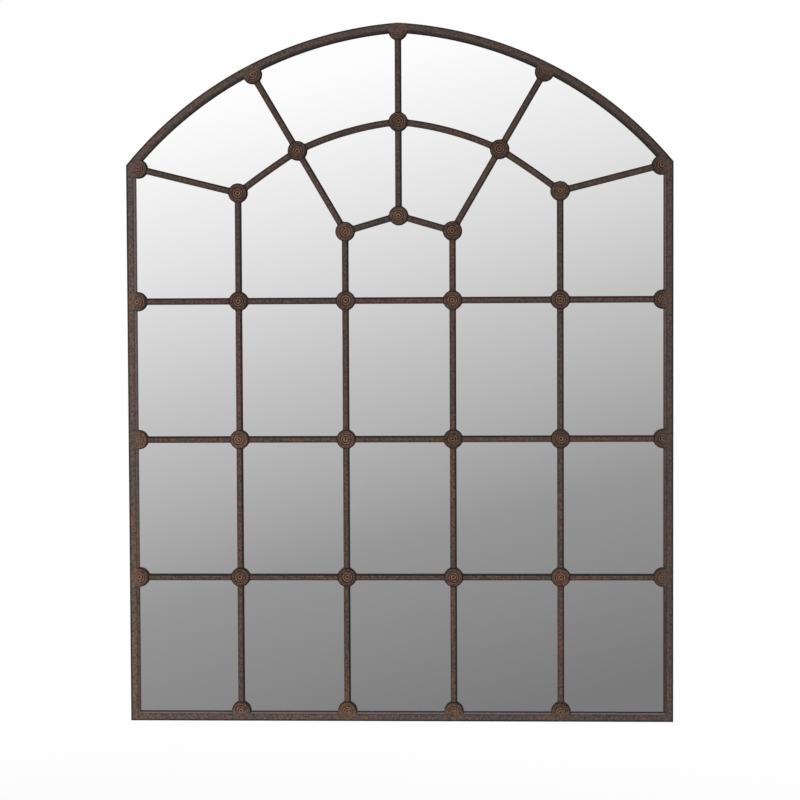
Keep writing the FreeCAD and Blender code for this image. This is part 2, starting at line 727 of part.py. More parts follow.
def clip_places():
    """Place and outward turn of every clip, round the frame."""
    places = []
    for share in STILE_CLIP_SHARES:
        height = f"{share} * sizes.springing_height"
        places.append((f"-{HALF_WIDTH}", height, "180 deg", Vector(0, 1, 0)))
        places.append((HALF_WIDTH, height, "0", Vector(0, -1, 0)))
    for share in BOTTOM_CLIP_SHARES:
        places.append((f"{share} * {HALF_WIDTH}", "0", "90 deg", Vector(0, 1, 0)))
    # On the curved head a flat clip touches the leg with its two ends only.
    seat = "(sizes.head_radius - sizes.clip_width ^ 2 / (8 * sizes.head_radius))"
    for share in HEAD_CLIP_SHARES:
        lean = f"acos(({share} * {HALF_WIDTH} + sizes.head_centre_offset) / sizes.head_radius)"
        distance = f"({seat} * cos({lean}) - sizes.head_centre_offset)"
        height = f"({HEAD_CENTRE} + {seat} * sin({lean}))"
        places.append((f"-{distance}", height, f"180 deg - {lean}", Vector(0, -1, 0)))
        places.append((distance, height, lean, Vector(0, -1, 0)))
    return places


def make_clips():
    clips = []
    for index, (across, up, turn, about) in enumerate(clip_places()):
        body = clip(f"clip_{index + 1}")
        stand(body, across, "0", up, turn, about)
        clips.append(body)
    keep("retaining_clips", group("retaining_clips", clips))


# Cross bars: flat strips whose ends are bent back against the stiles.
def cross_bar(label, height):
    body = new_body(label)
    section = add_sketch(body, "XY_Plane", label + "_section")
    end = f"({HALF_WIDTH} - sizes.frame_leg_thickness)"
    inner = f"({end} - sizes.cross_bar_thickness)"
    ear = "-sizes.wall_gap"
    right_half = [(end, BOARD_BACK), (end, ear), (inner, ear), (inner, BAR_BACK)]
    left_half = [(f"-{across}", depth) for across, depth in reversed(right_half)]
    add_polygon(section, right_half + left_half)
    pad(body, section, label + "_height", "sizes.cross_bar_height", sides="Symmetric")
    stand(body, "0", "0", height)
    return keep(label, body)


# Hangers: a ring whose pin turns in a bracket on the hanger bar. Their origin is on the pin's axis.
PIN_AXIS = derive(
    "pin_axis_plane", "layout.cross_bar_back_plane + sizes.ring_pin_standoff + sizes.ring_pin_diameter / 2"
)


def ring_bracket(label):
    """A strip bent over the pin, with a foot above and below it on the hanger bar."""
    body = new_body(label)
    base = f"({BAR_BACK} - {PIN_AXIS})"
    foot = f"({base} + sizes.bracket_thickness)"
    inner = "(sizes.ring_pin_diameter / 2 + sizes.ring_pin_clearance)"
    outer = f"({inner} + sizes.bracket_thickness)"
    tip = f"({outer} + sizes.bracket_foot_length)"
    width = "(sizes.ring_inner_width - 2 * sizes.bracket_side_gap)"
    section = add_sketch(body, "YZ_Plane", label + "_section")
    upper_half = [("0", outer), (foot, outer), (foot, tip), (base, tip)]
    lower_half = [(depth, f"-{up}") for depth, up in reversed(upper_half)]
    add_polygon(section, upper_half + lower_half)
    pad(body, section, label + "_feet", width, sides="Symmetric")
    bend = add_sketch(body, "YZ_Plane", label + "_bend_circle")
    add_circle(bend, "0", "0", outer)
    pad(body, bend, label + "_bend", width, sides="Symmetric")
    bore = add_sketch(body, "YZ_Plane", label + "_bore_circle")
    add_circle(bore, "0", "0", inner)
    pocket_through(body, bore, label + "_bore")
    slot = add_sketch(body, "YZ_Plane", label + "_slot_outline")
    under = f"({base} - sizes.overrun)"
    upper_half = [("0", inner), (base, inner), (base, tip), (under, tip)]
    lower_half = [(depth, f"-{up}") for depth, up in reversed(upper_half)]
    add_polygon(slot, upper_half + lower_half)
    pocket_through(body, slot, label + "_slot")
    stand(body, "0", PIN_AXIS, HANGER_BAR)
    return body


def ring(label):
    """A flat rim with straight sides and a narrower foot, hanging from a round pin."""
    body = new_body(label)
    inner = "(sizes.ring_inner_width / 2)"
    outer = f"({inner} + sizes.ring_rim_width)"
    turn = "-sizes.ring_straight_length"
    foot = "(sizes.ring_foot_width / 2)"
    outer_foot = f"({foot} + sizes.ring_rim_width / 2)"
    inner_low = "-sizes.ring_foot_depth"
    outer_low = f"({inner_low} - sizes.ring_rim_width)"
    top = "sizes.ring_top_height"
    rim = add_sketch(body, "XZ_Plane", label + "_rim_outline")
    right_half = [(inner, top), (inner, turn), (foot, inner_low)]
    right_outside = [(outer_foot, outer_low), (outer, turn), (outer, top)]
    left_half = [(f"-{across}", up) for across, up in reversed(right_half)]
    left_outside = [(f"-{across}", up) for across, up in reversed(right_outside)]
    add_polygon(rim, right_outside + right_half + left_half + left_outside)
    pad(body, rim, label + "_rim", "sizes.ring_plate_thickness", sides="Symmetric")
    pin = add_sketch(body, "YZ_Plane", label + "_pin_circle")
    add_circle(pin, "0", "0", "sizes.ring_pin_diameter / 2")
    pad(body, pin, label + "_pin", f"2 * {outer}", sides="Symmetric")
    stand(body, "0", PIN_AXIS, HANGER_BAR)
    return body


def make_hangers():
    """A bracket and a swinging ring on each side."""
    for side, name in ((-1, "left"), (1, "right")):
        across = mirrored(side, "(sizes.ring_distance / 2)")
        for label, make in ((f"ring_bracket_{name}", ring_bracket), (f"hanging_ring_{name}", ring)):
            item = make(label)
            item.setExpression("Placement.Base.x", across)
            keep(label, item)


def make_mirror():
    frame = make_frame()
    for label, member in frame.items():
        keep(label, member)
    make_grid_bars()
    make_fan_bars()
    front = f"({FACE} - sizes.overrun)"
    outline = arched_sheet("frame_outline", "0", front, "sizes.frame_depth + sizes.overrun")
    make_rosettes(group("frame_members", list(frame.values())), outline)
    make_sheets()
    make_clips()
    cross_bar("hanger_bar", HANGER_BAR)
    cross_bar("brace_bar", "sizes.brace_bar_height")
    make_hangers()


def check_document():
    """Stop if an object failed to build, or if a sub-part is empty or not valid."""
    failed = [item.Name for item in doc.Objects if {"Invalid", "Error"} & set(item.State)]
    if failed:
        raise SystemExit(f"objects that failed: {failed}")
    for label, item in parts.items():
        shape = item.Shape
        if shape.isNull() or not shape.Solids or not shape.isValid():
            raise SystemExit(f"sub-part without a sound shape: {label}")


def write_parts():
    os.makedirs("parts", exist_ok=True)
    for label, item in parts.items():
        item.Shape.exportStep(f"parts/{label}.step")
        print(f"{label}: {len(item.Shape.Solids)} solids, {item.Shape.Volume / 1000:.2f} cm3")
    print(f"{len(parts)} sub-parts")


make_mirror()
doc.recompute()
check_document()
write_parts()
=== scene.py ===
"""Arched wall mirror, dressed: rusted iron, cast rosettes, welds, screws and wire rings.

Metres, in the frame's own axes: +X to the right, +Y from the mirror's face to the wall, +Z up.
"""
import json
import math
import random

import bmesh
import bpy
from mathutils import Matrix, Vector, noise


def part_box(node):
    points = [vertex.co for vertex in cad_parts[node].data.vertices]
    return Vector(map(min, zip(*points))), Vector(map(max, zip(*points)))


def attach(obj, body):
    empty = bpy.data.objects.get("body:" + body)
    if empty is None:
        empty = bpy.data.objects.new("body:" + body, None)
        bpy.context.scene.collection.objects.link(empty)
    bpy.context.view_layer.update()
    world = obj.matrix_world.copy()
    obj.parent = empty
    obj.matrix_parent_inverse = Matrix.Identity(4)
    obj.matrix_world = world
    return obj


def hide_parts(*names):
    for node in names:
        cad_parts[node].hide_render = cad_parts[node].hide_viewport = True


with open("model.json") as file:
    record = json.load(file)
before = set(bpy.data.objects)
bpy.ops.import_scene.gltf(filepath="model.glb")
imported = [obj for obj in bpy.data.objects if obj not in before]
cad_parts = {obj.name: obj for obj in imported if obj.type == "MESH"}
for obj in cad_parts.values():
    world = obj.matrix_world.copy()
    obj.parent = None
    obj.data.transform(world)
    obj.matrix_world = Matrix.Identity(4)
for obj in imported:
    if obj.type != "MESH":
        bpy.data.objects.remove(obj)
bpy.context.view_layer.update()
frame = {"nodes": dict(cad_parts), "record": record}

random.seed(7)

# What the pieces sit on, read from the frame.
GLASS_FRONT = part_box("mirror_glass")[0].y
BOARD_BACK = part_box("backing_board")[1].y
CROWN_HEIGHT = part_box("head_left")[1].z

# Points nearer than this lie in one plane, or are one point.
SAME_PLANE = 0.00005
SAME_POINT = 0.000002

# The head's outer edge: two arcs that meet on the centre line.
HEAD_RADIUS = 1.0
HEAD_CENTRE_OFFSET = 0.068
HEAD_CENTRE_HEIGHT = CROWN_HEIGHT - math.sqrt(HEAD_RADIUS**2 - HEAD_CENTRE_OFFSET**2)
HEAD_EDGE_MARGIN = 0.0006

# The frame's front: its face runs in from the outer edge to a sloping band beside the glass.
FRAME_HALF_WIDTH = 0.7
FRAME_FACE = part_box("left_stile")[0].y
FRAME_SIGHT_LINE = 0.025

# Rosette casting: shares of the radius, of the height and of the black scale on it, from the glass up the
# side and in to the middle.
ROSETTE_RADIUS = 0.025
ROSETTE_HEIGHT = 0.011
ROSETTE_PROFILE_SHARES = (
    (1.0, 0.0, 1.0),
    (1.0, 0.5, 1.0),
    (0.985, 0.6, 1.0),
    (0.93, 0.72, 0.9),
    (0.87, 0.88, 0.6),
    (0.83, 0.95, 0.55),
    (0.8, 0.985, 0.2),
    (0.765, 0.93, 0.95),
    (0.72, 0.93, 0.95),
    (0.68, 0.985, 0.2),
    (0.62, 0.94, 0.55),
    (0.58, 0.83, 0.95),
    (0.51, 0.83, 0.95),
    (0.48, 0.92, 0.3),
    (0.43, 0.965, 0.0),
    (0.38, 0.92, 0.3),
    (0.36, 0.81, 0.95),
    (0.29, 0.81, 0.95),
    (0.26, 0.92, 0.3),
    (0.2, 0.965, 0.0),
    (0.13, 0.9, 0.5),
    (0.08, 0.83, 0.9),
    (0.0, 0.83, 0.9),
)
ROSETTE_SEGMENTS = 64

# Each casting differs in how thick its scale is inside the rim, and in how far its boss sits off centre.
# The offset grows inwards over the outer part of the radius.
RIM_RADIUS_SHARE = 0.9
CAST_SCALE_SHARES = (0.8, 1.5)
BOSS_OFFSET = 0.0014
OFFSET_REACH_SHARE = 0.4

# By distance from the frame's outer edge: castings have a share of their relief up to where the fade
# starts, and all of it from where it ends.
FADE_START = 0.016
FADE_END = 0.032
FADED_RELIEF_SHARE = 0.25

# Soft unevenness of the castings.
CASTING_LUMP_SIZE = 0.006
CASTING_LUMP_HEIGHT = 0.00016

# Glazing bar section and the weld beads at the bars' ends.
BAR_HALF_BASE = 0.0085
BAR_HALF_FACE = 0.004
BAR_SIDE_HEIGHT = 0.003
BAR_HEIGHT = 0.008
WELD_RADIUS = 0.0011
WELD_REACH = 0.001
WELD_LUMP_SHARES = (0.65, 1.35)
WELD_STEPS = 4

# How round the tubes are, as Blender's curves count it.
TUBE_ROUNDNESS = 3

# Hanging rings: a round wire bent to a D. The pin runs between two shares of its length.
RING_PIN_RADIUS = 0.0025
RING_WIRE_RADIUS = 0.0022
RING_SQUARENESS = 3.0
RING_STEPS = 40
RING_PIN_SHARES = (0.02, 0.98)

# Screws: outlines of the washer and of the six-sided head on it, as radius and height.
WASHER_OUTLINE = ((0.004, 0.0), (0.004, 0.0006), (0.0037, 0.0009), (0.0, 0.0009))
WASHER_SEGMENTS = 32
SCREW_HEAD_OUTLINE = ((0.0029, 0.0009), (0.0029, 0.003), (0.0024, 0.0036), (0.0, 0.0036))
SCREW_HEAD_SIDES = 6
SCREW_SHARP_ANGLE = 35
CLIP_THICKNESS = 0.0015
EAR_THICKNESS = 0.003
EAR_SCREW_SPREAD = 0.008
EAR_SCREW_SCALE = 0.72

# Across the frame's front, from the outer edge at 0 to the sight line at 1: its band, its painted shade
# lines and the painted shadow line at the glass, as pairs of place and strength.
FRAME_BAND_SHARES = ((0.0, 0.0), (0.74, 0.0), (0.77, 0.8), (0.94, 0.8), (0.97, 0.0))
FRAME_SHADE_LINE_SHARES = (
    (0.006, 0.0),
    (0.012, 0.95),
    (0.12, 0.85),
    (0.22, 0.0),
    (0.64, 0.0),
    (0.7, 0.8),
    (0.77, 0.0),
)
GLASS_SHADOW_LINE_SHARES = ((0.87, 0.0), (0.93, 1.0))

# The painted shadow line at the glass is fainter on the stiles, and grows to full as the band faces up or
# down.
STILE_SHADOW_LINE_SHARE = 0.3
GLASS_SHADOW_LINE_RANGE = (0.0, 0.3)

# How much faster the frame darkens towards its right side than towards its head.
FRAME_LEAN = 1.28

# The band gets a painted pale sheen where it faces up, and painted black shade where it faces down. Facing
# right counts a little as up. Up to the first height the band counts as facing up less, by the loss, which
# is gone from the second.
BAND_LEAN = 0.15
BAND_LOSS = 0.37
BAND_LOSS_HEIGHTS = (0.15, 1.05)
BAND_LIGHT_RANGE = (-0.2, 0.12)
BAND_LIGHT_SHARES = (0.1, 1.0)
BAND_DARK_RANGE = (-0.5, -0.2)
BAND_DARK_SHARES = (0.85, 0.0)

# Bars and rosettes get painted black shade as they turn from the front, sooner where they face up or to the
# right, by the weights of the two.
TURNED_RANGE = (-0.87, -0.5)
LEDGE_SHADE = 0.22
SIDE_SHADE = 0.12

# Colours are levels as a screen has them, and this is the screen's curve.
FULL_LEVEL = 255
CURVE_START = 0.04045
CURVE_SLOPE = 12.92
CURVE_OFFSET = 0.055
CURVE_POWER = 2.4

# A mix node's inputs for colours, share first, and its result.
MIX_INPUTS = (0, 6, 7)
MIX_RESULT = 2

# Each noise is the size of its patches, its detail and its roughness. Most of its values lie in its spread.
# Each bump is a strength and a depth. A pair of roughnesses is what a surface runs between.
NOISE_SPREAD = (0.3, 0.7)

# Old iron.
FRAME_BROWNS = ((101, 80, 69), (90, 77, 71))
BAR_BROWNS = ((97, 71, 60), (82, 69, 62))
ROSETTE_BROWNS = ((104, 79, 67), (94, 77, 69))
# Greys of the painted sheen on the frame's band beside the glass.
BAND_SHEEN_GREYS = ((76, 70, 72), (120, 116, 120))
WORN_BROWN = (178, 126, 96)
ORANGE_RUST = (128, 80, 50)
PALE_SPECK = (124, 104, 92)
DARK_BROWN = (38, 30, 28)
# The black of the scale, also used for the painted shade on the sides of bars and rosettes.
SCALE_AND_SHADE_BLACK = (30, 24, 22)
# Black of the painted shade lines on the frame's front and its band.
PAINTED_SHADE_BLACK = (32, 26, 25)
FRAME_RUST_SHARE = 0.25
BAR_RUST_SHARE = 0.3
ROSETTE_RUST_SHARE = 0.8
FRAME_DARKEST_SHARE = 0.54
BAR_DARKEST_SHARE = 0.48
WORN_SHARE = 0.65
SCALE_SHARE = 0.85
DARK_SPECK_SHARE = 0.8
PALE_SPECK_SHARE = 0.45
STRETCH_NOISE = (0.16, 2.0, 0.55)
STRETCH_RANGE = (0.4, 0.6)
PATCH_NOISE = (0.022, 4.0, 0.55)
RUST_RANGE = (0.58, 0.74)
SPECKLE_NOISE = (0.0062, 6.0, 0.7)
DARK_SPECK_RANGE = (0.36, 0.56)
PALE_SPECK_RANGE = (0.56, 0.7)
GRAIN_NOISE = (0.0017, 5.0, 0.7)
GRAIN_BUMP = (0.5, 0.0005)
IRON_METALLIC = 0.1
IRON_SPECULAR = 0.3
IRON_ROUGHNESS = (0.8, 0.55)

# Silvered glass.
SILVER_COLOURS = ((0.97, 0.975, 0.975, 1.0), (0.985, 0.985, 0.98, 1.0))
FILM_NOISE = (0.12, 4.0, 0.55)
FILM_RANGE = (0.35, 0.7)
FILM_ROUGHNESS = (0.008, 0.03)

# Hardboard.
BOARD_BROWNS = ((127, 95, 65), (134, 101, 70))
BOARD_PATCH_NOISE = (0.2, 4.0, 0.55)
BOARD_PATCH_RANGE = (0.35, 0.65)
BOARD_ROUGHNESS = (0.55, 0.8)
FIBRE_BROWN = (96, 68, 44)
FIBRE_NOISE = (0.0015, 8.0, 0.75)
FIBRE_RANGE = (0.4, 0.7)
FIBRE_BUMP = (0.3, 0.0004)

# Zinc plating.
ZINC_GREYS = ((150, 150, 148), (196, 196, 194))
ZINC_METALLIC = 0.9
ZINC_ROUGHNESS = (0.3, 0.5)
HAZE_NOISE = (0.006, 6.0, 0.55)
HAZE_BUMP = (0.1, 0.0003)

# Foam tape.
FOAM_GREYS = ((22, 22, 22), (44, 44, 44))
FOAM_ROUGHNESS = 0.9
CELL_NOISE = (0.001, 3.0, 0.55)
CELL_BUMP = (0.4, 0.0003)

# Camera: fitted to the photograph's view. Its angles are in degrees, and the level look is the turn about X
# that points it along the Y axis.
CAMERA_PLACE = (0.1895, -5.0, 1.0114)
CAMERA_PITCH = -2.091
CAMERA_ROLL = 0.252
CAMERA_YAW = 2.156
CAMERA_LENS = 87.3
LEVEL_LOOK = 90

# Room: what the mirror shows, as brightness against the upward lean of the reflected line of sight. The
# tilt darkens it towards the right. The light is what the object gets from the room.
ROOM_RANGE = (-0.2, 0.15)
ROOM_BRIGHTNESS_SHARES = ((0.0, 0.2), (0.286, 0.31), (0.571, 0.56), (0.786, 0.79), (1.0, 1.0))
ROOM_TILT = -0.27
ROOM_LIGHT = 0.62
WHITE = (1.0, 1.0, 1.0, 1.0)

# Floor: to the eye it is plain white to a share that grows with the distance from its middle.
FLOOR_HEIGHT = -0.6
FLOOR_SIZE = 30.0
FLOOR_BRIGHTNESS = 0.85
FLOOR_ROUGHNESS = 0.9
FLOOR_GLOW_SHARES = (0.75, 1.0)
FLOOR_GLOW_REACH = (1.5, 3.2)

# Lamps: soft squares, each with its place and its power in watts.
LAMP_SIZE = 3.0
LAMP_TARGET = (0.0, 0.0, 0.9)
LAMPS = (
    ("key_lamp", (-2.7, -3.6, 0.7), 130),
    ("fill_lamp", (3.6, -4.0, 1.4), 60),
    ("back_lamp", (1.5, 4.0, 4.5), 160),
)


# Shapes.
def islands(node):
    """The separate solids of a CAD node, each as a list of its points."""
    form = bmesh.new()
    form.from_mesh(frame["nodes"][node].data)
    bmesh.ops.remove_doubles(form, verts=form.verts, dist=SAME_POINT)
    found = []
    seen = set()
    for start in form.verts:
        if start in seen:
            continue
        seen.add(start)
        waiting = [start]
        points = []
        while waiting:
            vertex = waiting.pop()
            points.append(vertex.co.copy())
            for edge in vertex.link_edges:
                other = edge.other_vert(vertex)
                if other not in seen:
                    seen.add(other)
                    waiting.append(other)
        found.append(points)
    form.free()
    return found


def turn(form, outline, centre, axis, segments):
    """Turn an outline of (radius, height) pairs about an axis. Its last pair lies on the axis."""
    side = axis.orthogonal().normalized()
    across = axis.cross(side)
    rings = []
    for radius, height in outline[:-1]:
        ring = []
        for index in range(segments):
            angle = math.tau * index / segments
            spoke = side * math.cos(angle) + across * math.sin(angle)
            ring.append(form.verts.new(centre + axis * height + spoke * radius))
        rings.append(ring)
    tip = form.verts.new(centre + axis * outline[-1][1])
    form.faces.new(reversed(rings[0]))
    for lower, upper in zip(rings, rings[1:]):
        for index in range(segments):
            following = (index + 1) % segments
            form.faces.new((lower[index], lower[following], upper[following], upper[index]))
    for index in range(segments):
        form.faces.new((rings[-1][index], rings[-1][(index + 1) % segments], tip))
    return [*rings, [tip]]


def add_piece(name, mesh, slot, body="root", replaced=()):
    """Put a finished mesh on a CAD body, with the material of its slot."""
    piece = bpy.data.objects.new(name, mesh)
    bpy.context.scene.collection.objects.link(piece)
    mesh.materials.append(materials[slot])
    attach(piece, body)
    if replaced:
        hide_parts(*replaced)
    return piece


def mesh_from(form, name, sharp_angle=math.pi):
    """A smooth mesh of a form, with its edges sharp past an angle."""
    mesh = bpy.data.meshes.new(name)
    bmesh.ops.recalc_face_normals(form, faces=form.faces)
    form.to_mesh(mesh)
    form.free()
    mesh.shade_smooth()
    mesh.set_sharp_from_angle(angle=sharp_angle)
    return mesh


def rosette_places(node):
    """Centres of a node's rosettes on the glass, read from their fronts, whose lower parts are whole."""
    places = []
    for points in islands(node):
        front = min(point.y for point in points)
        flat = [point for point in points if point.y < front + SAME_PLANE]
        left = min(point.x for point in flat)
        right = max(point.x for point in flat)
        low = min(point.z for point in flat)
        places.append(Vector(((left + right) / 2, GLASS_FRONT, low + (right - left) / 2)))
    return places


def keep_inside_head(form):
    """Bring points that pass the head's outer edge back onto it."""
    limit = HEAD_RADIUS - HEAD_EDGE_MARGIN
    for vertex in form.verts:
        side = 1 if vertex.co.x > 0 else -1
        centre = Vector((-side * HEAD_CENTRE_OFFSET, vertex.co.y, HEAD_CENTRE_HEIGHT))
        reach = vertex.co - centre
        if reach.length > limit:
            vertex.co = centre + reach * (limit / reach.length)


def edge_distance(point):
    """How far a point lies inside the frame's outer edge, as seen from the front."""
    across = abs(point.x)
    upwards = max(point.z - HEAD_CENTRE_HEIGHT, 0)
    from_head = HEAD_RADIUS - math.hypot(across + HEAD_CENTRE_OFFSET, upwards)
    return min(FRAME_HALF_WIDTH - across, point.z, from_head)


def fade_into_frame(form, scale, worn):
    """Flatten castings on the frame's face, and set how scaled and how worn each point is, less there."""
    for vertex in form.verts:
        share = (edge_distance(vertex.co) - FADE_START) / (FADE_END - FADE_START)
        share = min(max(share, 0), 1)
        vertex[worn] = share * (1 - vertex[scale])
        vertex[scale] *= share
        relief = FRAME_FACE - vertex.co.y
        if relief > 0:
            vertex.co.y = FRAME_FACE - relief * (FADED_RELIEF_SHARE + (1 - FADED_RELIEF_SHARE) * share)


def roughen(form, size, height):
    """Move points by a soft noise, as on a sand casting."""
    for vertex in form.verts:
        vertex.co += noise.noise_vector(vertex.co / size) * height


def make_rosettes():
    """Cast rosettes with rings, grooves and a boss, one piece for each CAD node of them."""
    outline = []
    for radius, height, _ in ROSETTE_PROFILE_SHARES:
        outline.append((ROSETTE_RADIUS * radius, ROSETTE_HEIGHT * height))
    centres = []
    for node in sorted(frame["nodes"]):
        if not node.startswith("rosettes_"):
            continue
        form = bmesh.new()
        scale = form.verts.layers.float.new("scale")
        worn = form.verts.layers.float.new("worn")
        for centre in rosette_places(node):
            rings = turn(form, outline, centre, Vector((0, -1, 0)), ROSETTE_SEGMENTS)
            thickness = random.uniform(*CAST_SCALE_SHARES)
            offset = Vector((random.uniform(-1, 1), 0, random.uniform(-1, 1))) * BOSS_OFFSET
            for ring, (radius, _, share) in zip(rings, ROSETTE_PROFILE_SHARES):
                shift = offset * min((1 - radius) / OFFSET_REACH_SHARE, 1)
                for vertex in ring:
                    vertex[scale] = share if radius > RIM_RADIUS_SHARE else min(share * thickness, 1)
                    vertex.co += shift
            centres.append(centre)
        fade_into_frame(form, scale, worn)
        roughen(form, CASTING_LUMP_SIZE, CASTING_LUMP_HEIGHT)
        keep_inside_head(form)
        add_piece(node + "_cast", mesh_from(form, node + "_cast"), "rosette_iron", replaced=[node])
    return centres


def bar_ends(centre, bars):
    """Directions in which bars leave a rosette."""
    found = []
    for points in bars:
        near = []
        for point in points:
            reach = Vector((point.x - centre.x, 0, point.z - centre.z))
            if reach.length < ROSETTE_RADIUS + WELD_REACH:
                near.append(reach)
        if near:
            found.append(sum(near, Vector()).normalized())
    return found


def weld_path(centre, direction):
    """A bead across a bar's end, up one side, over the face and down the other, on the rosette's side."""
    section = (
        (-BAR_HALF_BASE, 0.0),
        (-BAR_HALF_BASE, BAR_SIDE_HEIGHT),
        (-BAR_HALF_FACE, BAR_HEIGHT),
        (BAR_HALF_FACE, BAR_HEIGHT),
        (BAR_HALF_BASE, BAR_SIDE_HEIGHT),
        (BAR_HALF_BASE, 0.0),
    )
    across = direction.cross(Vector((0, 1, 0)))
    path = []
    for (start, low), (finish, high) in zip(section, section[1:]):
        for step in range(WELD_STEPS):
            share = step / WELD_STEPS
            offset = start + (finish - start) * share
            height = low + (high - low) * share
            along = math.sqrt(ROSETTE_RADIUS**2 - offset**2)
            path.append(centre + direction * along + across * offset + Vector((0, -height, 0)))
    return path


def tube_mesh(name, paths, radius, closed=False):
    """A round tube along each path of (point, share of the radius) pairs, as one mesh."""
    curve = bpy.data.curves.new(name, "CURVE")
    curve.dimensions = "3D"
    curve.bevel_depth = radius
    curve.bevel_resolution = TUBE_ROUNDNESS
    curve.use_fill_caps = True
    for path in paths:
        spline = curve.splines.new("POLY")
        spline.points.add(len(path) - 1)
        for target, (point, share) in zip(spline.points, path):
            target.co = (*point, 1.0)
            target.radius = share
        spline.use_cyclic_u = closed
    holder = bpy.data.objects.new(name, curve)
    bpy.context.scene.collection.objects.link(holder)
    bpy.context.view_layer.update()
    graph = bpy.context.evaluated_depsgraph_get()
    mesh = bpy.data.meshes.new_from_object(holder.evaluated_get(graph))
    bpy.data.objects.remove(holder)
    mesh.name = name
    mesh.shade_smooth()
    return mesh


def make_welds(centres):
    """Lumpy weld beads where bars end at rosettes."""
    bars = []
    for node in sorted(frame["nodes"]):
        if node.startswith(("mullion_", "transom_", "middle_arch_", "inner_arch_")) or "_spoke" in node:
            bars += islands(node)
    paths = []
    for centre in centres:
        for direction in bar_ends(centre, bars):
            path = weld_path(centre, direction)
            paths.append([(point, random.uniform(*WELD_LUMP_SHARES)) for point in path])
    add_piece("weld_beads", tube_mesh("weld_beads", paths, WELD_RADIUS), "bar_iron")


def make_rings():
    """Wire rings: a straight pin and a bow that hangs from it."""
    for side in ("left", "right"):
        node = f"hanging_ring_{side}"
        low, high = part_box(node)
        middle = (low.x + high.x) / 2
        depth = (low.y + high.y) / 2
        pin_height = high.z - RING_PIN_RADIUS
        half_width = (high.x - low.x) / 2 - RING_WIRE_RADIUS
        drop = pin_height - low.z - RING_WIRE_RADIUS
        path = []
        for step in range(RING_STEPS + 1):
            angle = math.pi * step / RING_STEPS
            across = math.copysign(abs(math.cos(angle)) ** (2 / RING_SQUARENESS), math.cos(angle))
            fall = math.sin(angle) ** (2 / RING_SQUARENESS)
            path.append((Vector((middle + half_width * across, depth, pin_height - drop * fall)), 1.0))
        pin_ends = (path[-1][0], path[0][0])
        for share in RING_PIN_SHARES:
            point = pin_ends[0].lerp(pin_ends[1], share)
            path.append((point, RING_PIN_RADIUS / RING_WIRE_RADIUS))
        mesh = tube_mesh(node + "_wire", [path], RING_WIRE_RADIUS, closed=True)
        add_piece(node + "_wire", mesh, "ring_steel", body=f"{side}_ring", replaced=[node])


def screw(form, place, axis, scale=1.0):
    """A washer and a six-sided head."""
    for outline, segments in ((WASHER_OUTLINE, WASHER_SEGMENTS), (SCREW_HEAD_OUTLINE, SCREW_HEAD_SIDES)):
        scaled = [(radius * scale, height * scale) for radius, height in outline]
        turn(form, scaled, place, axis, segments)


def make_screws():
    """Screws that hold the clips to the board and the cross bars to the stiles."""
    form = bmesh.new()
    foot_back = BOARD_BACK + CLIP_THICKNESS
    for points in islands("retaining_clips"):
        foot = [point for point in points if abs(point.y - foot_back) < SAME_PLANE]
        screw(form, sum(foot, Vector()) / len(foot), Vector((0, 1, 0)))
    for node in ("hanger_bar", "brace_bar"):
        low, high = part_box(node)
        for end, inwards in ((low.x + EAR_THICKNESS, 1), (high.x - EAR_THICKNESS, -1)):
            for offset in (-EAR_SCREW_SPREAD, EAR_SCREW_SPREAD):
                depth = (BOARD_BACK + EAR_THICKNESS + high.y) / 2
                place = Vector((end, depth, (low.z + high.z) / 2 + offset))
                screw(form, place, Vector((inwards, 0, 0)), EAR_SCREW_SCALE)
    add_piece("screws", mesh_from(form, "screws", math.radians(SCREW_SHARP_ANGLE)), "hardware_steel")


# Materials.
def colour(levels):
    """A linear colour from red, green and blue levels as a screen has them."""
    linear = []
    for level in levels:
        share = level / FULL_LEVEL
        if share > CURVE_START:
            linear.append(((share + CURVE_OFFSET) / (1 + CURVE_OFFSET)) ** CURVE_POWER)
        else:
            linear.append(share / CURVE_SLOPE)
    return (*linear, 1.0)


def add_node(tree, kind, sockets=None, **settings):
    """A node with its settings, and each named socket given a value or joined to another node's output."""
    node = tree.nodes.new(kind)
    for name, value in settings.items():
        setattr(node, name, value)
    for name, value in (sockets or {}).items():
        if isinstance(value, bpy.types.NodeSocket):
            tree.links.new(value, node.inputs[name])
        else:
            node.inputs[name].default_value = value
    return node


def new_material(name, **shader_values):
    """A material, its node tree, its shader and the place of a point on the object."""
    material = bpy.data.materials.new(name)
    material.use_nodes = True
    tree = material.node_tree
    shader = tree.nodes["Principled BSDF"]
    for socket, value in shader_values.items():
        shader.inputs[socket.replace("_", " ")].default_value = value
    place = add_node(tree, "ShaderNodeTexCoord").outputs["Object"]
    return material, tree, shader, place


def cloud(tree, place, kind):
    """Soft noise of a kind: the size of its patches, its detail and its roughness."""
    size, detail, roughness = kind
    sockets = {"Vector": place, "Scale": 1 / size, "Detail": detail, "Roughness": roughness}
    return add_node(tree, "ShaderNodeTexNoise", sockets).outputs["Fac"]


def ranged(tree, value, limits, results=(0.0, 1.0)):
    """The value carried from between its limits to between two results, and held there past the limits."""
    sockets = {
        "Value": value,
        "From Min": limits[0],
        "From Max": limits[1],
        "To Min": results[0],
        "To Max": results[1],
    }
    return add_node(tree, "ShaderNodeMapRange", sockets).outputs["Result"]


def mixed(tree, share, first, second):
    """The first colour, with a share of the second."""
    node = add_node(tree, "ShaderNodeMix", data_type="RGBA")
    for index, value in zip(MIX_INPUTS, (share, first, second)):
        if isinstance(value, bpy.types.NodeSocket):
            tree.links.new(value, node.inputs[index])
        else:
            node.inputs[index].default_value = value
    return node.outputs[MIX_RESULT]


